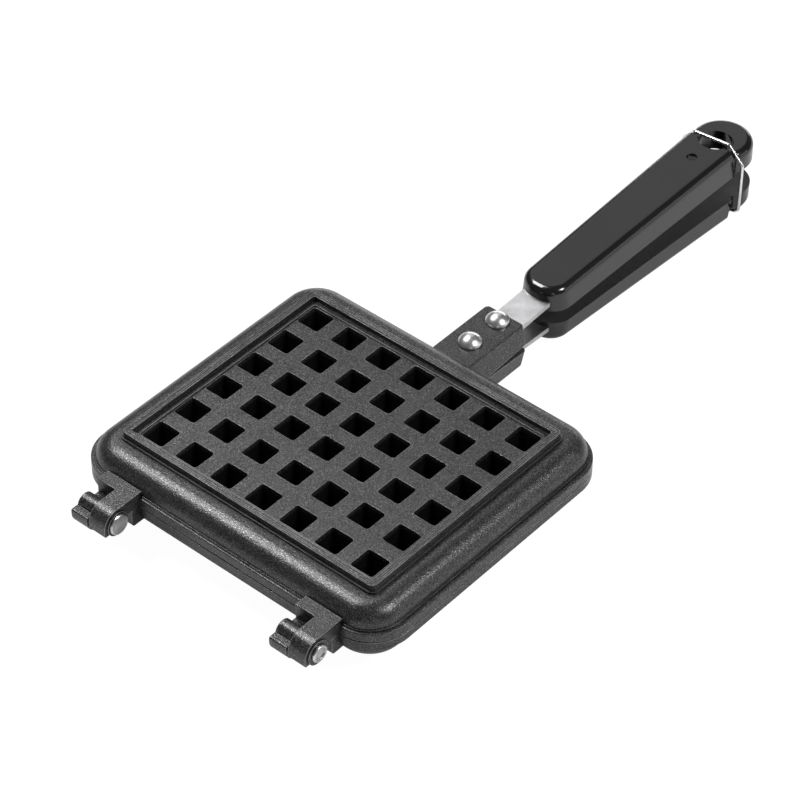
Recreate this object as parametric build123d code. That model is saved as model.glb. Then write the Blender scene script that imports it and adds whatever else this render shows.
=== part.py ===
from build123d import *
import math
import os

# Stovetop waffle iron: two cast pans hinged at the front, closed, in millimetres.
# X runs along the hinge, Y from the hinge to the handles, Z up.
# The origin is the middle of the bottom of the whole iron's bounding box.
# Each pan and what it carries is drawn as an upper half, with the pan's middle at x = y = 0
# and its parting plane at z = 0.
# The lower half is drawn the same way and turned over about the Y axis.

# Grid of squares, which sets the size of the pan
pitch = 17.0
columns = 7
rows = 6

# Pan body, its margins measured from the edge of the grid
half_height = 15.6
parting_gap = 0.6
flange_margin_x = 15.0
flange_margin_y = 15.2
flange_corner = 17.0
flange_height = 4.0
flange_edge_round = 0.5
bulge_margin_x = 12.5
bulge_margin_y = 13.7
bulge_height = 12.1
bulge_round = 7.6
foot_step_width = 0.45
foot_step_height = 0.6

# Raised frame and the sunk floor inside it
frame_margin_x = 2.1
frame_margin_y = 2.3
frame_width = 3.0
frame_corner = 2.6
frame_draft = 4.0
plinth_width = 0.5
plinth_height = 0.9
groove_width = 0.4
groove_depth = 0.3
floor_height = 12.9
step_width = 2.0
step_height = 0.6

# Pits outside and the posts that they hollow out inside
pit_opening = 10.4
pit_depth = 9.8
pit_corner = 1.2
post_tip = 10.0
post_gap = 4.4
post_draft = 9.0
floor_wall = 3.0
cavity_margin_x = 2.7
cavity_margin_y = 2.9
cavity_corner = 5.0
cavity_draft = 12.0

# Hinge brackets, arms and pins
bracket_inset = 25.8
bracket_width = 17.0
bracket_reach = 3.8
bracket_root = 6.3
upper_bracket_height = 6.3
lower_bracket_height = 7.7
upper_bracket_corner = 0.3
lower_bracket_corner = 1.3
pin_reach = 11.5
arm_gap = 1.0
arm_front = 6.3
arm_round = 6.2
upper_toe_drop = 3.2
lower_toe_drop = 0.8
toe_corner = 0.7
upper_barrel_radius = 5.1
lower_barrel_radius = 3.8
lower_barrel_back = 0.8
boss_height = 0.6
pin_radius = 2.0
pin_clearance = 0.05
pin_end_play = 0.2
left_head_radius = 4.3
right_head_radius = 3.6
pin_head_height = 0.9
pin_head_round = 0.4
pin_foot_radius = 2.5
pin_foot_height = 1.0

# Lug that carries the handle
lug_reach = 29.0
lug_root = 5.8
lug_height = 10.2
lug_top_half = 9.2
lug_foot_half = 11.2
lug_corner = 2.0
lug_relief = 1.7
lug_edge_round = 0.9
lug_plate = 3.8
slot_clearance = 0.1

# Steel tang
tang_width = 13.0
tang_thickness = 2.0
tang_start = 0.8
tang_bend = 29.8
tang_tilt = 3.0
tang_before_shoulder = 8.0
tang_corner = 3.0
first_rivet = 7.4
rivet_spacing = 16.3

# Rivets
rivet_radius = 2.5
rivet_head_radius = 4.85
rivet_rim_height = 0.8
rivet_dome_height = 2.8
rivet_foot_radius = 3.8
rivet_foot_height = 1.2

# Moulded handle
handle_start = 46.8
handle_gap = 2.9
handle_tilt = 1.6
bar_length = 113.0
bar_front_half = 10.7
bar_rear_half = 12.6
bar_front_height = 9.9
bar_rear_height = 11.7
bar_side_inset = 1.2
bar_round = 3.3
nose_corner = 8.8
eye_behind_shoulder = 8.1
eye_radius = 12.9
eye_height = 9.3
eye_hole_behind_shoulder = 3.5
eye_hole_radius = 7.5

# Screw that ties the handle to the tang
screw_before_shoulder = 12.8
screw_radius = 1.7
screw_head_radius = 2.2
screw_head_height = 1.2
screw_sink = 0.8
screw_clearance = 0.1

# Wire bail, bent by hand: its top leans to one side
wire_radius = 0.7
bail_behind_shoulder = 2.1
bail_rise = 17.6
bail_lean = 0.8
bail_top_half = 8.6
bail_top_shift = 1.0
bail_half_width = 14.8
bail_bend_rise = 11.3
bail_pivot_drop = 12.9
bail_foot_half = 12.9
bail_hook = 5.1
bail_bend_drop = 11.0
bail_bend_radius = 1.6
bail_clearance = 0.05

# One overrun for every cut and every lap between fused solids
overrun = 1.0

grid_half_x = columns * pitch / 2
grid_half_y = rows * pitch / 2
flange_half_x = grid_half_x + flange_margin_x
flange_half_y = grid_half_y + flange_margin_y
bulge_half_x = grid_half_x + bulge_margin_x
bulge_half_y = grid_half_y + bulge_margin_y
bulge_corner = flange_corner - (flange_margin_x - bulge_margin_x)
frame_half_x = grid_half_x + frame_margin_x
frame_half_y = grid_half_y + frame_margin_y
recess_half_x = frame_half_x - frame_width
recess_half_y = frame_half_y - frame_width
cavity_half_x = grid_half_x + cavity_margin_x
cavity_half_y = grid_half_y + cavity_margin_y
cavity_depth = floor_height - floor_wall
first_row = flange_half_y + first_rivet
rivet_rows = [first_row, first_row + rivet_spacing]
hinge_middles = [bracket_inset - flange_half_x, flange_half_x - bracket_inset]
bracket_front = -flange_half_y - bracket_reach
pin_y = -flange_half_y - pin_reach
tang_top = lug_height - lug_plate
tang_underside = tang_top - tang_thickness
tang_end = handle_start + bar_length - tang_before_shoulder
lug_end = flange_half_y + lug_reach
shoulder_y = flange_half_y + handle_start + bar_length
screw_y = shoulder_y - screw_before_shoulder
bail_y = shoulder_y + bail_behind_shoulder


def rounded_block(half_x, half_y, corner, bottom, top, draft=0):
    outline = RectangleRounded(2 * half_x, 2 * half_y, corner)
    return Pos(0, 0, bottom) * extrude(outline, top - bottom, taper=draft)


def side_profile(outline, start, end):
    """Extrude an outline drawn on Y and Z along X, from start to end."""
    return Pos(start, 0, 0) * extrude(Plane.YZ * outline, end - start)


def rod(radius, start, end):
    """A round bar along Z."""
    return Pos(0, 0, start) * extrude(Circle(radius), end - start)


def upright_edges(shape, place):
    """The edges that stand up at one end of a shape along Y: place 0 in front, -1 behind."""
    end = shape.edges().group_by(Axis.Y)[place]
    return [edge for edge in end if abs(edge.tangent_at(0).Z) > abs(edge.tangent_at(0).X)]


def flange():
    """The flat rim of the pan, with its outer top edge eased."""
    plate = rounded_block(flange_half_x, flange_half_y, flange_corner, 0, flange_height)
    return fillet(plate.edges().group_by(Axis.Z)[-1], flange_edge_round)


def bulge():
    """The quarter-round shoulder that rises from a low step on the flange to the frame."""
    block = rounded_block(bulge_half_x, bulge_half_y, bulge_corner, 0, bulge_height)
    step = rounded_block(bulge_half_x + foot_step_width, bulge_half_y + foot_step_width,
                         bulge_corner + foot_step_width, 0, flange_height + foot_step_height)
    return fillet(block.edges().group_by(Axis.Z)[-1], bulge_round) + step


def frame_block():
    """The block on its low plinth whose rim is left standing as the raised frame."""
    plinth = rounded_block(frame_half_x + plinth_width, frame_half_y + plinth_width,
                           frame_corner + plinth_width, bulge_height - overrun,
                           bulge_height + plinth_height)
    block = rounded_block(frame_half_x, frame_half_y, frame_corner,
                          bulge_height - overrun, half_height, frame_draft)
    return block + plinth


def frame_groove():
    """The fine groove along the middle of the frame's top."""
    outer = (frame_width - groove_width) / 2
    inner = (frame_width + groove_width) / 2
    corner = frame_corner - outer
    low = half_height - groove_depth
    room = rounded_block(frame_half_x - outer, frame_half_y - outer, corner, low, half_height + overrun)
    kept = rounded_block(frame_half_x - inner, frame_half_y - inner, corner - groove_width,
                         low, half_height + overrun)
    return room - kept


def recess():
    """What is sunk inside the frame: the floor, and above it the wider room over the step."""
    wide = rounded_block(recess_half_x, recess_half_y, frame_corner / 2,
                         floor_height + step_height, half_height + overrun)
    narrow = rounded_block(recess_half_x - step_width, recess_half_y - step_width, frame_corner / 2,
                           floor_height, half_height + overrun)
    return wide + narrow


def cavity():
    """The hollow for the batter, open at the parting plane."""
    return rounded_block(cavity_half_x, cavity_half_y, cavity_corner, 0, cavity_depth, cavity_draft)


def posts():
    """The drafted posts that stand in the cavity and give the waffle its squares."""
    tip = post_gap / 2
    rise = cavity_depth + floor_wall / 2 - tip
    post = extrude(Rectangle(post_tip, post_tip), rise, taper=-post_draft)
    return [Pos(0, 0, tip) * place * post for place in GridLocations(pitch, pitch, columns, rows)]


def pits():
    """The square pits in the sunk floor, one in the back of each post."""
    opening = RectangleRounded(pit_opening, pit_opening, pit_corner)
    pit = Rot(180, 0, 0) * extrude(opening, pit_depth, taper=post_draft)
    return [Pos(0, 0, floor_height) * place * pit for place in GridLocations(pitch, pitch, columns, rows)]


def lug_block():
    """The drafted lug behind the pan, before its channel is cut."""
    section = Polygon((-lug_foot_half, 0), (lug_foot_half, 0), (lug_top_half, lug_height),
                      (-lug_top_half, lug_height), align=None)
    block = Pos(0, lug_end, 0) * extrude(Plane.XZ * section, lug_reach + lug_root)
    block = fillet(upright_edges(block, -1), lug_corner)
    top = block.faces().sort_by(Axis.Z)[-1]
    sides = [edge for edge in top.edges() if edge.length > lug_reach]
    return fillet(sides, lug_edge_round)


def lug_channel():
    """The channel under the lug, the relief of its underside and its two rivet holes."""
    half = tang_width / 2 + slot_clearance
    start = flange_half_y + tang_start - slot_clearance
    room = Polygon((start, -overrun), (lug_end + overrun, -overrun), (lug_end + overrun, tang_top),
                   (start, tang_top), align=None)
    relief = Polygon((flange_half_y, 0), (flange_half_y, -overrun), (lug_end, -overrun),
                     (lug_end, lug_relief), align=None)
    reach = lug_foot_half + overrun
    cuts = side_profile(room, -half, half) + side_profile(relief, -reach, reach)
    for y in rivet_rows:
        cuts += Pos(0, y, 0) * rod(rivet_radius, 0, lug_height + overrun)
    return cuts


def upper_arm_outline():
    """The upper arm: round in front, with a toe below and a barrel for the pin."""
    barrel = Pos(pin_y, 0) * Circle(upper_barrel_radius)
    return arm_bar(upper_bracket_height, upper_toe_drop) + barrel


def lower_arm_outline():
    """The lower arm: a shorter toe, a smaller barrel that sits a little back from the pin."""
    barrel = Pos(pin_y + lower_barrel_back, 0) * Circle(lower_barrel_radius)
    return arm_bar(lower_bracket_height, lower_toe_drop) + barrel


def arm_bar(height, toe_drop):
    """The bar of an arm on Y and Z, from its rounded front to the bracket."""
    front = pin_y - arm_front
    back = bracket_front + overrun
    bar = Polygon((front, -toe_drop), (pin_y, -toe_drop), (pin_y, parting_gap / 2),
                  (back, parting_gap / 2), (back, height), (front, height), align=None)
    low, high = bar.vertices().group_by(Axis.X)[0].sort_by(Axis.Y)
    return fillet(low, toe_corner) & fillet(high, arm_round)


def hinge_bracket(middle, height, corner, outline):
    """A bracket on the pan's front edge with its arm on the +X side."""
    plate = Rectangle(bracket_reach + bracket_root, height, align=(Align.MIN, Align.MIN))
    front_corner = plate.vertices().group_by(Axis.X)[0].sort_by(Axis.Y)[-1]
    plate = Pos(bracket_front, 0) * fillet(front_corner, corner)
    bracket = side_profile(plate, middle - bracket_width / 2, middle + bracket_width / 2)
    arm = side_profile(outline, middle + arm_gap / 2, middle + bracket_width / 2)
    return bracket + arm


def pin_boss(middle):
    """The low boss on the upper arm's face that the pin's head bears on."""
    start = middle + bracket_width / 2
    boss = Rot(0, 90, 0) * rod(upper_barrel_radius, -overrun, boss_height)
    return Pos(start, pin_y, 0) * boss


def pan():
    """What both cast pans have, without their hinge brackets."""
    body = flange() + bulge() + frame_block() + lug_block()
    body = body - cavity() - recess() - frame_groove() - lug_channel()
    return body + posts() - pits()


def finished(body, hole_radius):
    """A pan with its pin holes drilled and its face trimmed back to the parting gap."""
    pin_hole = Rot(0, 90, 0) * rod(hole_radius, -flange_half_x, flange_half_x)
    below = rounded_block(flange_half_x + overrun, flange_half_y + overrun, flange_corner,
                          -overrun, parting_gap / 2)
    return body - Pos(0, pin_y, 0) * pin_hole - below


def upper_pan():
    body = pan()
    arm = upper_arm_outline()
    for middle in hinge_middles:
        body += hinge_bracket(middle, upper_bracket_height, upper_bracket_corner, arm)
        body += pin_boss(middle)
    return finished(body, pin_radius + pin_clearance)


def lower_pan():
    """The lower pan as drawn, before it is turned over; its arms take the pins' sunk feet."""
    body = pan()
    arm = lower_arm_outline()
    sink = Rot(0, 90, 0) * rod(pin_foot_radius, -pin_foot_height, overrun)
    for middle in hinge_middles:
        body += hinge_bracket(middle, lower_bracket_height, lower_bracket_corner, arm)
        body -= Pos(middle + bracket_width / 2, pin_y, 0) * sink
    return finished(body, pin_radius)


def hinge_pin(middle, head_radius):
    """A pin along X with its head on the +X side and its foot spread in the sink on the -X side."""
    reach = bracket_width / 2
    seat = reach + boss_height + pin_end_play
    head = rod(head_radius, seat, seat + pin_head_height)
    head = fillet(head.edges().group_by(Axis.Z)[-1], pin_head_round)
    foot = rod(pin_foot_radius, -reach, -reach + pin_foot_height)
    pin = rod(pin_radius, -reach, seat) + head + foot
    return Pos(middle, pin_y, 0) * Rot(0, 90, 0) * pin


def tang_outline(clearance):
    """The strip seen from the side: flat in the lug, then tilted up along the handle."""
    start = flange_half_y + tang_start - clearance
    bend = flange_half_y + tang_bend
    end = flange_half_y + tang_end + clearance
    low = tang_underside - clearance
    high = tang_top + clearance
    rise = (end - bend) * math.tan(math.radians(tang_tilt))
    return Polygon((start, low), (bend, low), (end, low + rise), (end, high + rise), (bend, high),
                   (start, high), align=None)


def tang():
    """The flat steel strip between the lug and the handle, its corners rounded."""
    strip = side_profile(tang_outline(0), -tang_width / 2, tang_width / 2)
    plan = RectangleRounded(tang_width, tang_end - tang_start, tang_corner)
    strip &= Pos(0, flange_half_y + (tang_start + tang_end) / 2, 0) * extrude(plan, half_height)
    for y in rivet_rows:
        strip -= Pos(0, y, 0) * rod(rivet_radius, 0, lug_height)
    return strip - Pos(0, screw_y, 0) * rod(screw_radius, 0, half_height)


def rivet(y):
    """A domed rivet through the lug and the tang."""
    sphere_radius = (rivet_head_radius ** 2 + rivet_dome_height ** 2) / (2 * rivet_dome_height)
    rim_top = lug_height + rivet_rim_height
    ball = Pos(0, 0, rim_top + rivet_dome_height - sphere_radius) * Sphere(sphere_radius)
    dome = ball & rod(rivet_head_radius + overrun, rim_top, rim_top + sphere_radius)
    head = dome + rod(rivet_head_radius, lug_height, rim_top)
    foot = rod(rivet_foot_radius, tang_underside - rivet_foot_height, tang_underside)
    return Pos(0, y, 0) * (head + rod(rivet_radius, tang_underside, lug_height) + foot)


def handle_place():
    """Where the handle's own frame lies: y along its flat underside, z out of it."""
    return Pos(0, flange_half_y + handle_start, handle_gap) * Rot(handle_tilt, 0, 0)


def bar():
    """The tapered grip with its rounded nose, widening and deepening to the shoulder."""
    front = Polygon((-bar_front_half, 0), (bar_front_half, 0),
                    (bar_front_half - bar_side_inset, bar_front_height),
                    (-bar_front_half + bar_side_inset, bar_front_height), align=None)
    rear = Polygon((-bar_rear_half, 0), (bar_rear_half, 0),
                   (bar_rear_half - bar_side_inset, bar_rear_height),
                   (-bar_rear_half + bar_side_inset, bar_rear_height), align=None)
    sections = [Plane.XZ * front, Pos(0, bar_length, 0) * (Plane.XZ * rear)]
    block = loft(sections, ruled=True)
    block = fillet(upright_edges(block, 0), nose_corner)
    top = block.faces().sort_by(Axis.Z)[-1]
    rim = [edge for edge in top.edges() if edge.center().Y < bar_length - overrun]
    return fillet(rim, bar_round)


def eye():
    """The round end of the handle, lower than the grip."""
    disc = Pos(0, bar_length + eye_behind_shoulder, 0) * rod(eye_radius, 0, eye_height)
    return fillet(disc.edges().group_by(Axis.Z)[-1], bar_round)


def bail_side(side):
    """The wire's centre line on X and Z from a hook to the top; side is 1 on +X, -1 on -X."""
    points = [(bail_foot_half - bail_hook, -bail_pivot_drop), (bail_foot_half, -bail_pivot_drop),
              (bail_half_width, -bail_bend_drop), (bail_half_width, bail_bend_rise)]
    top = (side * bail_top_half - bail_top_shift, bail_rise + side * bail_lean)
    return [(side * x, z) for x, z in points] + [top]


def handle():
    """One moulded handle with its tang slot and screw hole."""
    shape = handle_place() * (bar() + eye())
    half = tang_width / 2 + slot_clearance
    shape -= side_profile(tang_outline(slot_clearance), -half, half)
    screw_hole = rod(screw_radius, screw_start(), screw_head_base() + overrun)
    head_hole = rod(screw_head_radius + screw_clearance, screw_head_base(), 2 * half_height)
    return shape - Pos(0, screw_y, 0) * (screw_hole + head_hole)


def eye_hole():
    """The hole by which the iron hangs, through the upper handle's end."""
    hole = rod(eye_hole_radius, -overrun, bar_rear_height + overrun)
    return handle_place() * Pos(0, bar_length + eye_hole_behind_shoulder, 0) * hole


def bail_holes():
    """The two blind holes in the sides of the lower handle's end that the bail hooks into."""
    depth = bail_foot_half - bail_hook - bail_clearance
    hole = rod(wire_radius + bail_clearance, depth, eye_radius + overrun)
    holes = Rot(0, 90, 0) * hole + Rot(0, -90, 0) * hole
    return Pos(0, bail_y, -bail_pivot_drop) * holes


def handle_top():
    """Height of the grip's outer face over the screw, measured from the parting plane."""
    along = bar_length - screw_before_shoulder
    depth = bar_front_height + (bar_rear_height - bar_front_height) * along / bar_length
    return handle_gap + along * math.tan(math.radians(handle_tilt)) + depth


def screw_head_base():
    return handle_top() - screw_sink - screw_head_height


def screw_start():
    """The screw ends under the tang, inside the handle."""
    along = screw_y - flange_half_y - tang_bend
    return tang_underside + along * math.tan(math.radians(tang_tilt)) - overrun


def handle_screw():
    """The short screw that ties the handle to the tang, its head sunk in the grip."""
    base = screw_head_base()
    screw = rod(screw_radius, screw_start(), base) + rod(screw_head_radius, base, base + screw_head_height)
    return Pos(0, screw_y, 0) * screw


def bail():
    """The wire loop that holds the handles shut, hooked into the lower handle."""
    points = bail_side(1) + bail_side(-1)[::-1]
    path = FilletPolyline(*[(x, bail_y, z) for x, z in points], radius=bail_bend_radius)
    section = Plane(origin=path @ 0, z_dir=path % 0) * Circle(wire_radius)
    return sweep(section, path=path)


def turned_over(shape):
    return Rot(0, 180, 0) * shape


def parts():
    """Every piece of the closed iron, with the parting plane at z = 0."""
    front_row, rear_row = rivet_rows
    left, right = hinge_middles
    return {
        "upper_pan": upper_pan(),
        "lower_pan": turned_over(lower_pan()),
        "left_hinge_pin": hinge_pin(left, left_head_radius),
        "right_hinge_pin": hinge_pin(right, right_head_radius),
        "upper_tang": tang(),
        "lower_tang": turned_over(tang()),
        "upper_front_rivet": rivet(front_row),
        "upper_rear_rivet": rivet(rear_row),
        "lower_front_rivet": turned_over(rivet(front_row)),
        "lower_rear_rivet": turned_over(rivet(rear_row)),
        "upper_handle": handle() - eye_hole(),
        "lower_handle": turned_over(handle()) - bail_holes(),
        "upper_handle_screw": handle_screw(),
        "lower_handle_screw": turned_over(handle_screw()),
        "wire_bail": bail(),
    }


def standing(shapes):
    """Where the iron goes so that the origin is the middle of the bottom of its bounding box."""
    boxes = [shape.bounding_box() for shape in shapes]
    front = min(box.min.Y for box in boxes)
    back = max(box.max.Y for box in boxes)
    return Pos(0, -(front + back) / 2, -min(box.min.Z for box in boxes))


pieces = parts()
place = standing(pieces.values())
os.makedirs("parts", exist_ok=True)
for name, shape in pieces.items():
    export_step(place * shape, "parts/" + name + ".step")
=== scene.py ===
import bpy
import bmesh
import math
from mathutils import Matrix, Vector


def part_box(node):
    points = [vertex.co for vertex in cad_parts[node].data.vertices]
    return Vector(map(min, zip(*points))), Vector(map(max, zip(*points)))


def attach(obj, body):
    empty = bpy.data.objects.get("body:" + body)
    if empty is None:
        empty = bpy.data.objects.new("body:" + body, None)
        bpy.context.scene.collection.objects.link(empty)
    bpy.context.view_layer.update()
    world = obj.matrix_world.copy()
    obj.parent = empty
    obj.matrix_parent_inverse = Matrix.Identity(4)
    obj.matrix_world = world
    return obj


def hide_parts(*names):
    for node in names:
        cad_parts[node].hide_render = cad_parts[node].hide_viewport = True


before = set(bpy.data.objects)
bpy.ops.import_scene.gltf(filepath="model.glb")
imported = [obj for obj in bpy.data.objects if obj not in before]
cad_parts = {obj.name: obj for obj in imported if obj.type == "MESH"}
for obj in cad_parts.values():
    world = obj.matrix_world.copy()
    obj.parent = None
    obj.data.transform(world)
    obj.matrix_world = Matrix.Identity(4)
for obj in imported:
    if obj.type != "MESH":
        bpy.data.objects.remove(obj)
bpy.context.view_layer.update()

# Cast pans. Two die castings of one pattern, closed face to face: aluminium, shot-blasted and
# sprayed with a charcoal non-stick coating that has worn thin along the raised edges; their pale
# is partly that wear and partly a painted highlight. The corners are darkened, a painted shade,
# and on the outside only the pits are darkened deep down, a painted shade too.


class Value:
    """A socket of a node tree that can be used in a sum like a number."""

    def __init__(self, nodes, socket):
        self.nodes = nodes
        self.socket = socket

    def with_other(self, operation, first, second):
        settings = {"operation": operation}
        return self.nodes.add("ShaderNodeMath", settings, {0: first, 1: second}).out("Value")

    def __add__(self, other):
        return self.with_other("ADD", self, other)

    def __radd__(self, other):
        return self.with_other("ADD", other, self)

    def __sub__(self, other):
        return self.with_other("SUBTRACT", self, other)

    def __rsub__(self, other):
        return self.with_other("SUBTRACT", other, self)

    def __mul__(self, other):
        return self.with_other("MULTIPLY", self, other)

    def __rmul__(self, other):
        return self.with_other("MULTIPLY", other, self)

    def __truediv__(self, other):
        return self.with_other("DIVIDE", self, other)

    def __mod__(self, other):
        return self.with_other("MODULO", self, other)

    def __abs__(self):
        return self.with_other("ABSOLUTE", self, 0.0)

    def floor(self):
        return self.with_other("FLOOR", self, 0.0)

    def cosine(self):
        return self.with_other("COSINE", self, 0.0)

    def sine(self):
        return self.with_other("SINE", self, 0.0)


class Placed:
    """A node in a node tree, with its outputs by name or number."""

    def __init__(self, nodes, node):
        self.nodes = nodes
        self.node = node

    def out(self, name):
        return Value(self.nodes, self.node.outputs[name])


class Nodes:
    """A node tree that is built up node by node."""

    def __init__(self, tree):
        self.tree = tree

    def add(self, kind, settings, sockets):
        node = self.tree.nodes.new(kind)
        for name, value in settings.items():
            setattr(node, name, value)
        for name, value in sockets.items():
            if isinstance(value, Value):
                self.tree.links.new(value.socket, node.inputs[name])
            else:
                node.inputs[name].default_value = value
        return Placed(self, node)


class Finish(Nodes):
    """A procedural material."""

    def __init__(self, name):
        self.material = bpy.data.materials.new(name)
        self.material.use_nodes = True
        super().__init__(self.material.node_tree)
        self.tree.nodes.clear()

    def ramp(self, value, low, high):
        """0 at low, 1 at high, straight between them and level beyond; low may be the larger."""
        sockets = {"Value": value, "From Min": low, "From Max": high}
        return self.add("ShaderNodeMapRange", {"clamp": True}, sockets).out("Result")

    def noise(self, scale, detail=2.0, roughness=0.5):
        """Noise that stays with the piece, so many lumps to the metre."""
        place = self.add("ShaderNodeTexCoord", {}, {}).out("Object")
        sockets = {"Vector": place, "Scale": scale, "Detail": detail, "Roughness": roughness}
        return self.add("ShaderNodeTexNoise", {}, sockets).out("Fac")

    def blend(self, share, first, second):
        """A colour between two colours."""
        sockets = {0: share, 6: first, 7: second}
        return self.add("ShaderNodeMix", {"data_type": "RGBA"}, sockets).out(2)

    def rounded(self, radius):
        """The normal that rounds sharp edges."""
        return self.add("ShaderNodeBevel", {"samples": 6}, {"Radius": radius}).out("Normal")

    def outer_edges(self, reach):
        """0 on flats and in corners, towards 1 on edges that stick out."""
        settings = {"inside": True, "only_local": True, "samples": 8}
        return 1 - self.add("ShaderNodeAmbientOcclusion", settings, {"Distance": reach}).out("AO")

    def corners(self, reach):
        """0 on flats and edges, towards 1 down in corners and hollows."""
        settings = {"only_local": True, "samples": 8}
        return 1 - self.add("ShaderNodeAmbientOcclusion", settings, {"Distance": reach}).out("AO")

    def bump(self, height, strength, distance, normal=None):
        """The normal of a relief, on top of another normal where one is given."""
        sockets = {"Height": height, "Strength": strength, "Distance": distance}
        if normal:
            sockets["Normal"] = normal
        return self.add("ShaderNodeBump", {}, sockets).out("Normal")

    def principled(self, sockets):
        return self.add("ShaderNodeBsdfPrincipled", {}, sockets).out("BSDF")

    def close(self, shader):
        """Ends the material in this shader."""
        self.add("ShaderNodeOutputMaterial", {}, {"Surface": shader})
        return self.material


coat_dark = (0.007, 0.007, 0.0073, 1.0)
coat_pale = (0.014, 0.014, 0.0143, 1.0)
coat_flake = (0.21, 0.21, 0.212, 1.0)
# Pale of the raised edges: worn coat and a painted highlight along them.
coat_wear_highlight = (0.40, 0.40, 0.405, 1.0)
# Near black for the painted shade in corners and deep in the pits.
painted_shade_black = (0.003, 0.003, 0.003, 1.0)
wear_highlight_reach = 0.00035
# Reach and strength of the painted shade in corners.
corner_shade_reach = 0.0035
corner_shade_cover = 0.92
blast_relief = 0.00006
edge_rounding = 0.0003

# The pits, measured from the plane where the pans meet and from the middle of their grid. The
# shifts put a pit's middle at half a pitch, for an odd number of columns and an even one of rows,
# and keep what is divided above zero.
parting_height = 0.01775
pan_middle = -0.081474
pit_pitch = 0.017
column_shift = 10.5 * pit_pitch
row_shift = 10 * pit_pitch
pit_slope = math.tan(math.radians(9.0))
pit_wall_middle = 0.0039
pit_end_middle = 0.00265
pits_half_x = 0.0571
pits_half_y = 0.0486
# Depths where the painted shade in the pits starts and is full, and how far it covers.
pit_shade_none = 0.0125
pit_shade_full = 0.0105
pit_shade_cover = 0.85
mask_fade = 0.0001

coating = Finish("charcoal_coating")
pan_place = coating.add("ShaderNodeTexCoord", {}, {}).out("Object")
axes = coating.add("ShaderNodeSeparateXYZ", {}, {"Vector": pan_place})
depth = abs(axes.out("Z") - parting_height)
beside = coating.ramp(abs(axes.out("X")), pits_half_x + mask_fade, pits_half_x - mask_fade)
before = coating.ramp(abs(axes.out("Y") - pan_middle),
                      pits_half_y + mask_fade, pits_half_y - mask_fade)
off_column = abs((axes.out("X") + column_shift) % pit_pitch - pit_pitch / 2)
across = off_column - pit_slope * depth
off_row = abs((axes.out("Y") - pan_middle + row_shift) % pit_pitch - pit_pitch / 2)
along = off_row - pit_slope * depth
in_square = coating.ramp(across, pit_wall_middle, pit_wall_middle - 2 * mask_fade) \
    * coating.ramp(along, pit_wall_middle, pit_wall_middle - 2 * mask_fade)
outside_end = coating.ramp(depth, pit_end_middle - mask_fade, pit_end_middle + mask_fade)
# Deep in the outer pits the coat is mixed towards flat black, a painted shade.
depth_shade = coating.ramp(depth, pit_shade_none, pit_shade_full)
pit_shade = depth_shade * beside * before * in_square * outside_end
# Raised edges turn pale, partly wear of the coat and partly a painted highlight.
wear_and_highlight = coating.ramp(coating.outer_edges(wear_highlight_reach), 0.16, 0.42)
# Corners and hollows turn near black, a painted shade.
corner_shade = coating.ramp(coating.corners(corner_shade_reach), 0.10, 0.42)
cloud = coating.noise(60.0, 3.0)
grain = coating.noise(2500.0, 2.0, 0.6)
sand = coating.noise(1300.0, 2.0, 0.6)
flake = coating.ramp(grain, 0.50, 0.68)
base = coating.blend(coating.ramp(cloud, 0.35, 0.65), coat_dark, coat_pale)
base = coating.blend(flake, base, coat_flake)
base = coating.blend(wear_and_highlight * coating.ramp(cloud + grain, 0.70, 1.10), base, coat_wear_highlight)
base = coating.blend(corner_shade * corner_shade_cover, base, painted_shade_black)
coat = coating.principled({
    "Base Color": base,
    "Metallic": flake * (0.9 - 0.9 * corner_shade),
    "Roughness": 0.22 + 0.14 * sand,
    "Normal": coating.bump(grain + 1.4 * sand, 1.0, blast_relief,
                           coating.rounded(edge_rounding)),
})
# The flat black shader of the painted shade in the pits.
painted_shade_shader = coating.add("ShaderNodeBsdfDiffuse", {}, {"Color": painted_shade_black}).out("BSDF")
coat_and_painted_shade = coating.add("ShaderNodeMixShader", {}, {
    0: pit_shade * pit_shade_cover, 1: coat, 2: painted_shade_shader}).out("Shader")
pan_coating = coating.close(coat_and_painted_shade)


def dress(material, *names):
    """Gives CAD pieces that stay their finish."""
    for name in names:
        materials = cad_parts[name].data.materials
        materials.clear()
        materials.append(material)


dress(pan_coating, "upper_pan", "lower_pan")

# Handles. Two moulded bars of glossy black bakelite with a lower round end, the upper one with a
# hanging eye; each is pushed onto its tang and held by one sunk screw. The flat faces that close
# on each other are left matt, as they come from the mould.
bakelite_deep = (0.0045, 0.0045, 0.005, 1.0)
bakelite_pale = (0.0075, 0.0075, 0.008, 1.0)
bakelite_dust = (0.03, 0.03, 0.03, 1.0)
bakelite_ior = 1.63
halves_fade = 0.0002
peel_relief = 0.0004

bakelite = Finish("black_bakelite")
smear = bakelite.noise(35.0, 4.0)
orange_peel = bakelite.noise(260.0, 2.0)
dust = bakelite.noise(2400.0, 1.0)
handle_place = bakelite.add("ShaderNodeTexCoord", {}, {})
handle_axes = bakelite.add("ShaderNodeSeparateXYZ", {}, {"Vector": handle_place.out("Object")})
handle_normal = bakelite.add("ShaderNodeSeparateXYZ", {}, {"Vector": handle_place.out("Normal")})
above = bakelite.ramp(handle_axes.out("Z") - parting_height, -halves_fade, halves_fade)
faces_in = bakelite.ramp((1 - 2 * above) * handle_normal.out("Z"), 0.80, 0.95)
moulded = bakelite.blend(bakelite.ramp(smear, 0.3, 0.7), bakelite_deep, bakelite_pale)
moulded = bakelite.blend(bakelite.ramp(dust, 0.72, 0.8), moulded, bakelite_dust)
black_bakelite = bakelite.close(bakelite.principled({
    "Base Color": moulded,
    "IOR": bakelite_ior,
    "Roughness": 0.10 + 0.10 * smear + 0.40 * faces_in,
    "Normal": bakelite.bump(orange_peel, 0.06, peel_relief),
}))
dress(black_bakelite, "upper_handle", "lower_handle")

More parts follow.
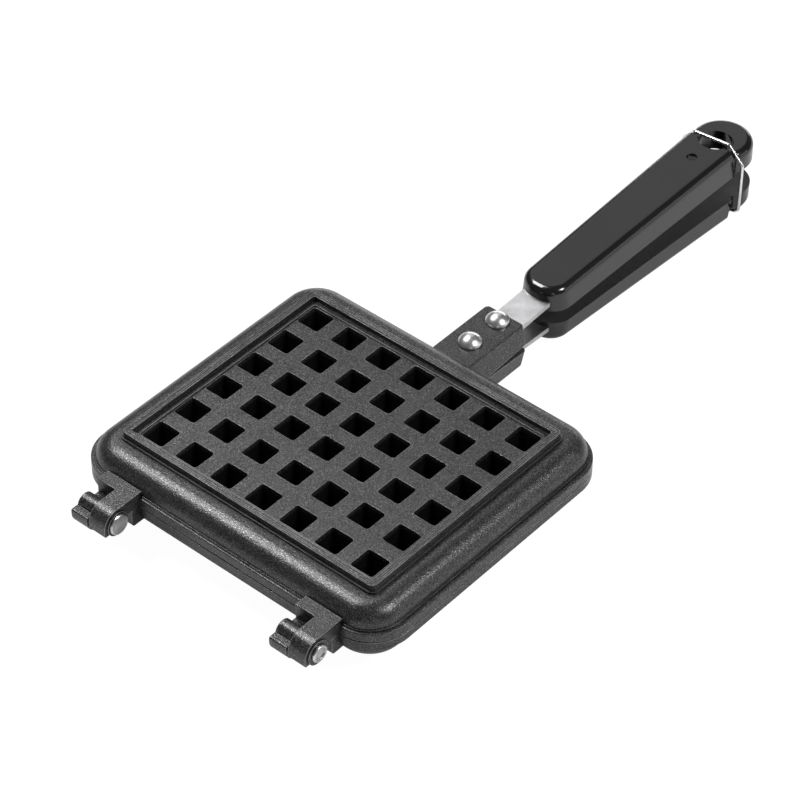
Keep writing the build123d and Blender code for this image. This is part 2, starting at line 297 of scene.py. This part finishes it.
# Tangs. Flat strips of plated steel with a satin grain along their length. One end is riveted
# to the inner side of its pan's lug, the other runs into the handle.
strip_dull = (0.50, 0.50, 0.51, 1.0)
strip_bright = (0.74, 0.74, 0.75, 1.0)
grain_stretch = (1.0, 0.04, 1.0)
strip_relief = 0.0001

satin = Finish("satin_strip")
strip_place = satin.add("ShaderNodeTexCoord", {}, {}).out("Object")
drawn = satin.add("ShaderNodeMapping", {}, {
    "Vector": strip_place, "Scale": grain_stretch}).out("Vector")
lines = satin.add("ShaderNodeTexNoise", {}, {
    "Vector": drawn, "Scale": 2600.0, "Detail": 3.0}).out("Fac")
spots = satin.noise(180.0, 3.0)
satin_strip = satin.close(satin.principled({
    "Base Color": satin.blend(satin.ramp(spots, 0.3, 0.75), strip_dull, strip_bright),
    "Metallic": 1.0,
    "Roughness": 0.28 + 0.16 * lines,
    "Normal": satin.bump(lines, 0.12, strip_relief),
}))
dress(satin_strip, "upper_tang", "lower_tang")

# Rivets. Two in each lug, of soft aluminium, with a flat foot inside against the tang and a dome
# outside that was pressed bright. They replace the CAD's rivets, and are turned from an outline by
# the lathe below, which makes the hinge pins too.
dome_dull = (0.74, 0.74, 0.75, 1.0)
dome_bright = (0.84, 0.84, 0.85, 1.0)
dome_relief = 0.00006

pressed = Finish("pressed_aluminium")
marks = pressed.noise(500.0, 3.0, 0.6)
haze = pressed.noise(140.0, 2.0)
pressed_aluminium = pressed.close(pressed.principled({
    "Base Color": pressed.blend(pressed.ramp(haze, 0.35, 0.7), dome_dull, dome_bright),
    "Metallic": 1.0,
    "Roughness": 0.24 + 0.12 * marks,
    "Normal": pressed.bump(marks, 0.10, dome_relief),
}))

lathe_sides = 48
seam_distance = 0.000002
sharp_angle = math.radians(38)

lathe_tree = bpy.data.node_groups.new("turned_fasteners", "GeometryNodeTree")
lathe_inputs = {}
for label, kind in (("Profile", "Geometry"), ("Sides", "Int"), ("Count", "Int"),
                    ("First place", "Vector"), ("Spacing", "Vector"), ("Turn", "Rotation"),
                    ("Finish", "Material")):
    socket = lathe_tree.interface.new_socket(
        name=label, in_out="INPUT", socket_type="NodeSocket" + kind)
    lathe_inputs[label] = socket.identifier
lathe_tree.interface.new_socket(
    name="Fasteners", in_out="OUTPUT", socket_type="NodeSocketGeometry")
lathe = Nodes(lathe_tree)
given = lathe.add("NodeGroupInput", {}, {})
profile = given.out("Profile")
sides = given.out("Sides")
vertex = lathe.add("GeometryNodeInputIndex", {}, {}).out("Index")
spot = lathe.add("GeometryNodeInputPosition", {}, {}).out("Position")
steps = lathe.add("GeometryNodeAttributeDomainSize", {}, {"Geometry": profile}).out("Point Count")
skin = lathe.add("GeometryNodeMeshGrid", {}, {
    "Vertices X": steps, "Vertices Y": sides + 1}).out("Mesh")
step = (vertex / (sides + 1)).floor()
angle = (vertex % (sides + 1)) * (2 * math.pi) / sides
on_profile = lathe.add("GeometryNodeSampleIndex", {"data_type": "FLOAT_VECTOR"}, {
    "Geometry": profile, "Value": spot, "Index": step}).out("Value")
parted = lathe.add("ShaderNodeSeparateXYZ", {}, {"Vector": on_profile})
radius = parted.out("X")
turned_spot = lathe.add("ShaderNodeCombineXYZ", {}, {
    "X": radius * angle.cosine(), "Y": radius * angle.sine(), "Z": parted.out("Z")}).out("Vector")
skin = lathe.add("GeometryNodeSetPosition", {}, {
    "Geometry": skin, "Position": turned_spot}).out("Geometry")
skin = lathe.add("GeometryNodeMergeByDistance", {}, {
    "Geometry": skin, "Distance": seam_distance}).out("Geometry")
row = lathe.add("GeometryNodeMeshLine", {"mode": "OFFSET"}, {
    "Count": given.out("Count"), "Start Location": given.out("First place"),
    "Offset": given.out("Spacing")}).out("Mesh")
placed = lathe.add("GeometryNodeInstanceOnPoints", {}, {
    "Points": row, "Instance": skin, "Rotation": given.out("Turn")}).out("Instances")
placed = lathe.add("GeometryNodeRealizeInstances", {}, {"Geometry": placed}).out("Geometry")
placed = lathe.add("GeometryNodeSetShadeSmooth", {}, {"Geometry": placed}).out("Geometry")
placed = lathe.add("GeometryNodeSetMaterial", {}, {
    "Geometry": placed, "Material": given.out("Finish")}).out("Geometry")
lathe.add("NodeGroupOutput", {}, {"Fasteners": placed})


def turned_piece(name, outline, count, first, spacing, turn, material):
    """Turns an outline of (radius, height) points round its axis, once for each place in a row."""
    points = bpy.data.meshes.new(name + "_outline")
    points.from_pydata([(wide, 0.0, high) for wide, high in outline], [], [])
    piece = bpy.data.objects.new(name, points)
    bpy.context.collection.objects.link(piece)
    modifier = piece.modifiers.new("turned", "NODES")
    modifier.node_group = lathe_tree
    modifier[lathe_inputs["Sides"]] = lathe_sides
    modifier[lathe_inputs["Count"]] = count
    modifier[lathe_inputs["First place"]] = first
    modifier[lathe_inputs["Spacing"]] = spacing
    modifier[lathe_inputs["Turn"]] = turn
    modifier[lathe_inputs["Finish"]] = material
    evaluated = piece.evaluated_get(bpy.context.evaluated_depsgraph_get())
    mesh = bpy.data.meshes.new_from_object(evaluated)
    piece.modifiers.clear()
    piece.data = mesh
    shape = bmesh.new()
    shape.from_mesh(mesh)
    bmesh.ops.recalc_face_normals(shape, faces=shape.faces)
    for face in shape.faces:
        face.material_index = 0
    shape.to_mesh(mesh)
    shape.free()
    mesh.materials.clear()
    mesh.materials.append(material)
    mesh.set_sharp_from_angle(angle=sharp_angle)
    return piece


rivet_foot_radius = 0.0038
rivet_foot_height = 0.0012
rivet_shank_radius = 0.0025
rivet_rim_height = 0.0008
rivet_dome_height = 0.0028
rivet_edge = 0.0002
dome_steps = 14
for side, front_node, rear_node in (("upper", "upper_front_rivet", "upper_rear_rivet"),
                                    ("lower", "lower_front_rivet", "lower_rear_rivet")):
    least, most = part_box(front_node)
    rear_least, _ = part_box(rear_node)
    head_radius = (most.x - least.x) / 2
    tall = most.z - least.z
    head_foot = tall - rivet_dome_height - rivet_rim_height
    ball_radius = (head_radius ** 2 + rivet_dome_height ** 2) / (2 * rivet_dome_height)
    widest = math.asin(head_radius / ball_radius)
    rivet_outline = [
        (0.0, 0.0), (rivet_foot_radius - rivet_edge, 0.0), (rivet_foot_radius, rivet_edge),
        (rivet_foot_radius, rivet_foot_height), (rivet_shank_radius, rivet_foot_height),
        (rivet_shank_radius, head_foot), (head_radius - rivet_edge, head_foot),
        (head_radius, head_foot + rivet_edge)]
    for number in range(dome_steps + 1):
        lean = widest * (1 - number / dome_steps)
        rivet_outline.append((ball_radius * math.sin(lean),
                              tall - ball_radius * (1 - math.cos(lean))))
    upright = side == "upper"
    rivets = turned_piece(
        side + "_rivets", rivet_outline, 2,
        ((least.x + most.x) / 2, (least.y + most.y) / 2, least.z if upright else most.z),
        (0.0, rear_least.y - least.y, 0.0), (0.0 if upright else math.pi, 0.0, 0.0),
        pressed_aluminium)
    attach(rivets, side + "_half")
    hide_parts(front_node, rear_node)

# Hinge pins. Turned steel, plated, pushed through both pans' arms and fast in the lower ones. The
# flat head has a rim and a shallow dish, deeper on the right pin, darkened in its hollow and
# corners as a painted shade; the other end is riveted over.
pin_dull = (0.52, 0.52, 0.53, 1.0)
pin_bright = (0.76, 0.76, 0.77, 1.0)
# Grey for the painted shade in the dish and corners.
pin_shade_grey = (0.16, 0.16, 0.16, 1.0)
hollow_shade_reach = 0.0012
hollow_shade_cover = 0.75
pin_relief = 0.00006

turned = Finish("plated_pin")
scratch = turned.noise(900.0, 3.0, 0.7)
patina = turned.noise(260.0, 2.0)
pin_colour = turned.blend(turned.ramp(patina, 0.4, 0.65), pin_dull, pin_bright)
# The head darkens in its dish and corners, a painted shade.
hollow_shade = turned.ramp(turned.corners(hollow_shade_reach), 0.06, 0.40)
pin_colour = turned.blend(hollow_shade * hollow_shade_cover, pin_colour, pin_shade_grey)
plated_pin = turned.close(turned.principled({
    "Base Color": pin_colour,
    "Metallic": 1.0,
    "Roughness": 0.26 + 0.16 * scratch,
    "Normal": turned.bump(scratch, 0.12, pin_relief),
}))

pin_shank_radius = 0.0020
pin_foot_radius = 0.0025
pin_foot_height = 0.0010
pin_head_height = 0.0009
pin_head_round = 0.0004
pin_edge = 0.0002
pin_round_steps = 5
for side, rim_width, dish_depth in (("left", 0.0005, 0.00015), ("right", 0.0007, 0.00045)):
    least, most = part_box(side + "_hinge_pin")
    head_radius = (most.z - least.z) / 2
    long = most.x - least.x
    pin_outline = [
        (0.0, 0.0), (pin_foot_radius - pin_edge, 0.0), (pin_foot_radius, pin_edge),
        (pin_foot_radius, pin_foot_height), (pin_shank_radius, pin_foot_height),
        (pin_shank_radius, long - pin_head_height), (head_radius, long - pin_head_height)]
    for number in range(pin_round_steps + 1):
        lean = math.pi / 2 * number / pin_round_steps
        pin_outline.append((head_radius - pin_head_round * (1 - math.cos(lean)),
                            long - pin_head_round * (1 - math.sin(lean))))
    rim_inside = head_radius - pin_head_round - rim_width
    pin_outline += [(rim_inside, long), (rim_inside - dish_depth / 2, long - dish_depth),
                    (0.0, long - dish_depth)]
    pin = turned_piece(
        side + "_pin", pin_outline, 1,
        (least.x, (least.y + most.y) / 2, (least.z + most.z) / 2),
        (0.0, 0.0, 0.0), (0.0, math.pi / 2, 0.0), plated_pin)
    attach(pin, "lower_half")
    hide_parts(side + "_hinge_pin")

# Handle screws. Small steel screws, darkened, with a little rust. Each is sunk at the bottom of a
# hole in its handle and holds the tang.
screw_dark = (0.05, 0.05, 0.05, 1.0)
screw_rust = (0.12, 0.115, 0.11, 1.0)

dark = Finish("dark_screw")
rust = dark.noise(700.0, 3.0)
dark_screw = dark.close(dark.principled({
    "Base Color": dark.blend(dark.ramp(rust, 0.4, 0.7), screw_dark, screw_rust),
    "Metallic": 1.0,
    "Roughness": 0.35 + 0.2 * rust,
}))
dress(dark_screw, "upper_handle_screw", "lower_handle_screw")

# Wire bail. Bright spring wire, bent to a loop that holds the handles shut. Its two ends are
# hooked into blind holes in the sides of the lower handle.
wire_dull = (0.72, 0.72, 0.73, 1.0)
wire_bright = (0.88, 0.88, 0.89, 1.0)

wire = Finish("bright_wire")
draw_marks = wire.noise(1600.0, 2.0)
stain = wire.noise(220.0, 2.0)
bright_wire = wire.close(wire.principled({
    "Base Color": wire.blend(wire.ramp(stain, 0.35, 0.7), wire_dull, wire_bright),
    "Metallic": 1.0,
    "Roughness": 0.16 + 0.12 * draw_marks,
}))
dress(bright_wire, "wire_bail")

# Table top. A plain white sheet under the iron. The camera sees it mostly as an even glow, so
# that it shows as white and keeps a faint shadow, and shiny pieces mirror a fifth of that glow.
table_white = (0.80, 0.80, 0.80, 1.0)
glow_white = (1.0, 1.0, 1.0, 1.0)
glow_strength = 1.14
glow_share = 0.85
mirrored_share = 0.20
table_reach = 4.0

table = Finish("white_table")
rays = table.add("ShaderNodeLightPath", {}, {})
mirrored = rays.out("Is Glossy Ray") + rays.out("Is Transmission Ray")
seen = rays.out("Is Camera Ray") + mirrored_share * mirrored
matt = table.add("ShaderNodeBsdfDiffuse", {}, {"Color": table_white}).out("BSDF")
glow = table.add("ShaderNodeEmission", {}, {
    "Color": glow_white, "Strength": glow_strength}).out("Emission")
shown = table.add("ShaderNodeMixShader", {}, {0: glow_share, 1: matt, 2: glow}).out("Shader")
top = table.add("ShaderNodeMixShader", {}, {0: seen, 1: matt, 2: shown}).out("Shader")
white_table = table.close(top)
sheet = bpy.data.meshes.new("table_top")
sheet.from_pydata([(-table_reach, -table_reach, 0), (table_reach, -table_reach, 0),
                   (table_reach, table_reach, 0), (-table_reach, table_reach, 0)],
                  [], [(0, 1, 2, 3)])
sheet.materials.append(white_table)
table_top = bpy.data.objects.new("table_top", sheet)
bpy.context.collection.objects.link(table_top)

# Studio. A long bright key overhead on the left, a small one high on the right, a wide weak panel
# behind and above, and three soft panels low down: on the right, behind, and a narrow one in
# front.
lit_middle = Vector((0.0, -0.05, 0.02))
air_grey = (0.11, 0.11, 0.11, 1.0)


def panel(name, direction, distance, width, height, radiance):
    """A rectangular soft light that faces the iron."""
    lamp = bpy.data.lights.new(name, "AREA")
    lamp.shape = "RECTANGLE"
    lamp.size = width
    lamp.size_y = height
    lamp.energy = radiance * math.pi * width * height
    lit = bpy.data.objects.new(name, lamp)
    away = Vector(direction).normalized()
    lit.location = lit_middle + away * distance
    lit.rotation_euler = away.to_track_quat("Z", "Y").to_euler()
    bpy.context.collection.objects.link(lit)


panel("wide_panel", (-0.48, 0.60, 0.64), 1.5, 1.0, 0.8, 0.58)
panel("key_panel", (-0.48, 0.03, 0.87), 1.3, 0.70, 0.34, 16.5)
panel("right_key", (0.66, 0.22, 0.72), 1.3, 0.34, 0.34, 24.0)
panel("side_panel", (0.80, 0.55, 0.22), 1.4, 0.9, 0.50, 0.9)
panel("back_panel", (-0.45, 0.88, 0.12), 1.6, 1.2, 0.35, 2.6)
panel("low_strip", (0.67, -0.59, 0.29), 1.3, 0.25, 0.5, 1.0)

world = bpy.data.worlds.new("studio_air")
world.use_nodes = True
world.node_tree.nodes["Background"].inputs["Color"].default_value = air_grey
bpy.context.scene.world = world

# Camera. A long lens from the right in front, looking down on the upper pan. Its angles, place
# and focal length were worked out from the regular grid of pits in the photo.
camera_turn = math.radians(40.52)
camera_rise = math.radians(42.29)
camera_roll = math.radians(0.3375)
camera_place = Vector((0.576555, -0.723309, 0.833425))

back = Vector((math.sin(camera_turn) * math.cos(camera_rise),
               -math.cos(camera_turn) * math.cos(camera_rise), math.sin(camera_rise)))
level_right = (-back).cross(Vector((0, 0, 1))).normalized()
level_up = level_right.cross(-back)
right = math.cos(camera_roll) * level_right + math.sin(camera_roll) * level_up
up = math.cos(camera_roll) * level_up - math.sin(camera_roll) * level_right
pose = Matrix((right, up, back)).transposed().to_4x4()
pose.translation = camera_place
lens = bpy.data.cameras.new("photo_camera")
lens.sensor_width = 36.0
lens.lens = 144.40
camera = bpy.data.objects.new("photo_camera", lens)
camera.matrix_world = pose
bpy.context.collection.objects.link(camera)
bpy.context.scene.camera = camera
bpy.context.scene.view_settings.view_transform = "Standard"
